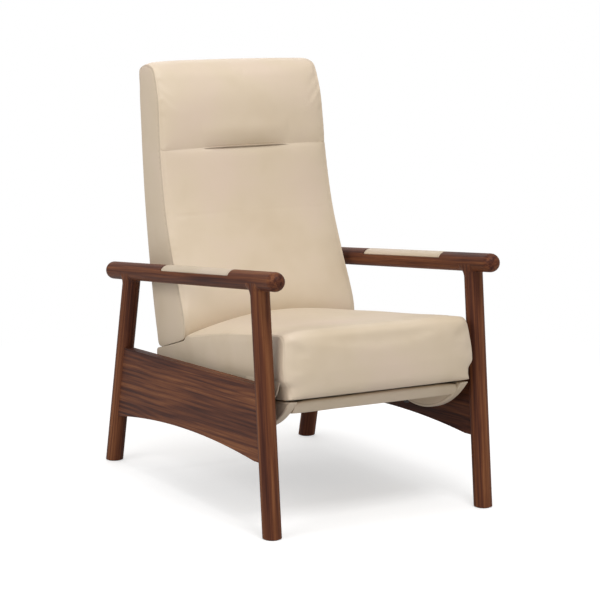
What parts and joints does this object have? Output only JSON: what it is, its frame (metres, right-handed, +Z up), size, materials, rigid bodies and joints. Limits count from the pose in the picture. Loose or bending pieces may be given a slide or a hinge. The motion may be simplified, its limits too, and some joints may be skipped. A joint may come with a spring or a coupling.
{
  "type": "recliner",
  "caption": "Lounge recliner with round-bar wooden side frames, a thick box seat, a tall reclining back with sewn headrest and a swing-out footrest stowed under the seat.",
  "frame": {"origin": "on the floor, under the middle of the bounding box", "axes": "+X to the sitter's left, the chair faces -Y, +Z up"},
  "size_m": [0.625, 0.9295, 1.0451],
  "materials": {
    "walnut": "dark brown, satin",
    "leather": "cream, soft sheen",
    "beech": "plain, sanded",
    "nylon": "matte",
    "cloth": "matte",
    "black_steel": "black, satin",
    "zinc_steel": "zinc plated"
  },
  "bodies": {
    "frame": {"left_front_leg": "walnut", "right_front_leg": "walnut", "left_rear_leg": "walnut", "right_rear_leg": "walnut", "left_arm_rail": "walnut", "right_arm_rail": "walnut", "left_arm_pad": "leather", "right_arm_pad": "leather", "left_side_panel": "walnut", "right_side_panel": "walnut", "panel_dowels": "beech", "leg_glides": "nylon", "front_stretcher": "beech", "rear_stretcher": "beech", "stretcher_angles": "zinc_steel", "stretcher_screws": "zinc_steel", "left_track_plate": "black_steel", "right_track_plate": "black_steel", "track_spacers": "zinc_steel", "track_screws": "zinc_steel", "back_pivot_pins": "zinc_steel"},
    "seat": {"seat_cushion": "leather", "seat_side_rails": "beech", "seat_cross_rails": "beech", "seat_springs": "zinc_steel", "spring_clips": "black_steel", "dust_cover": "cloth", "left_seat_plate": "black_steel", "right_seat_plate": "black_steel", "seat_plate_bolts": "zinc_steel", "glide_bolts": "zinc_steel", "glide_bushes": "nylon", "seat_link_pins": "zinc_steel", "linkage_pins": "zinc_steel"},
    "back": {"back_cushion": "leather", "outside_back": "leather", "back_stiles": "beech", "back_cross_rails": "beech", "back_webbing": "cloth", "left_back_bracket": "black_steel", "right_back_bracket": "black_steel", "bracket_sleeves": "zinc_steel", "bracket_bolts": "zinc_steel", "arm_link_pins": "zinc_steel"},
    "left_recline_link": {"left_recline_link": "black_steel"},
    "right_recline_link": {"right_recline_link": "black_steel"},
    "front_links": {"left_front_link": "black_steel", "right_front_link": "black_steel", "drive_tube": "zinc_steel"},
    "left_rear_link": {"left_rear_link": "black_steel"},
    "right_rear_link": {"right_rear_link": "black_steel"},
    "footrest": {"footrest_cover": "leather", "footrest_board": "beech", "left_cheek": "leather", "right_cheek": "leather", "left_footrest_bracket": "black_steel", "right_footrest_bracket": "black_steel", "footrest_screws": "zinc_steel", "footrest_pins": "zinc_steel"}
  },
  "joints": [
    {"name": "back_recline", "type": "hinge", "parent": "frame", "child": "back", "pos_m": [0, 0.19734, 0.28557], "axis": [-1, 0, 0], "range_deg": [0, 28]},
    {"name": "seat_glide", "type": "slide", "parent": "frame", "child": "seat", "axis": [0, -0.9925, 0.1219], "range_m": [0, 0.0388]},
    {"name": "left_recline_link_pivot", "type": "hinge", "parent": "back", "child": "left_recline_link", "pos_m": [0.2537, 0.20709, 0.20616], "axis": [-1, 0, 0], "range_deg": [-28, 0]},
    {"name": "right_recline_link_pivot", "type": "hinge", "parent": "back", "child": "right_recline_link", "pos_m": [-0.2537, 0.20709, 0.20616], "axis": [-1, 0, 0], "range_deg": [-28, 0]},
    {"name": "footrest_swing", "type": "hinge", "parent": "seat", "child": "front_links", "pos_m": [0, -0.35867, 0.32635], "axis": [-1, 0, 0], "range_deg": [0, 150]},
    {"name": "left_rear_link_pivot", "type": "hinge", "parent": "seat", "child": "left_rear_link", "pos_m": [0.25, -0.27738, 0.3015], "axis": [-1, 0, 0], "range_deg": [0, 150]},
    {"name": "right_rear_link_pivot", "type": "hinge", "parent": "seat", "child": "right_rear_link", "pos_m": [-0.25, -0.27738, 0.3015], "axis": [-1, 0, 0], "range_deg": [0, 150]},
    {"name": "footrest_level", "type": "hinge", "parent": "front_links", "child": "footrest", "pos_m": [0, -0.22298, 0.24157], "axis": [-1, 0, 0], "range_deg": [-150, 0]}
  ],
  "couplings": [
    {"joint": "seat_glide", "follows": "back_recline", "m_per_rad": 0.079206},
    {"joint": "left_recline_link_pivot", "follows": "back_recline", "ratio": -1},
    {"joint": "right_recline_link_pivot", "follows": "back_recline", "ratio": -1},
    {"joint": "left_rear_link_pivot", "follows": "footrest_swing", "ratio": 1},
    {"joint": "right_rear_link_pivot", "follows": "footrest_swing", "ratio": 1},
    {"joint": "footrest_level", "follows": "footrest_swing", "ratio": -1}
  ]
}
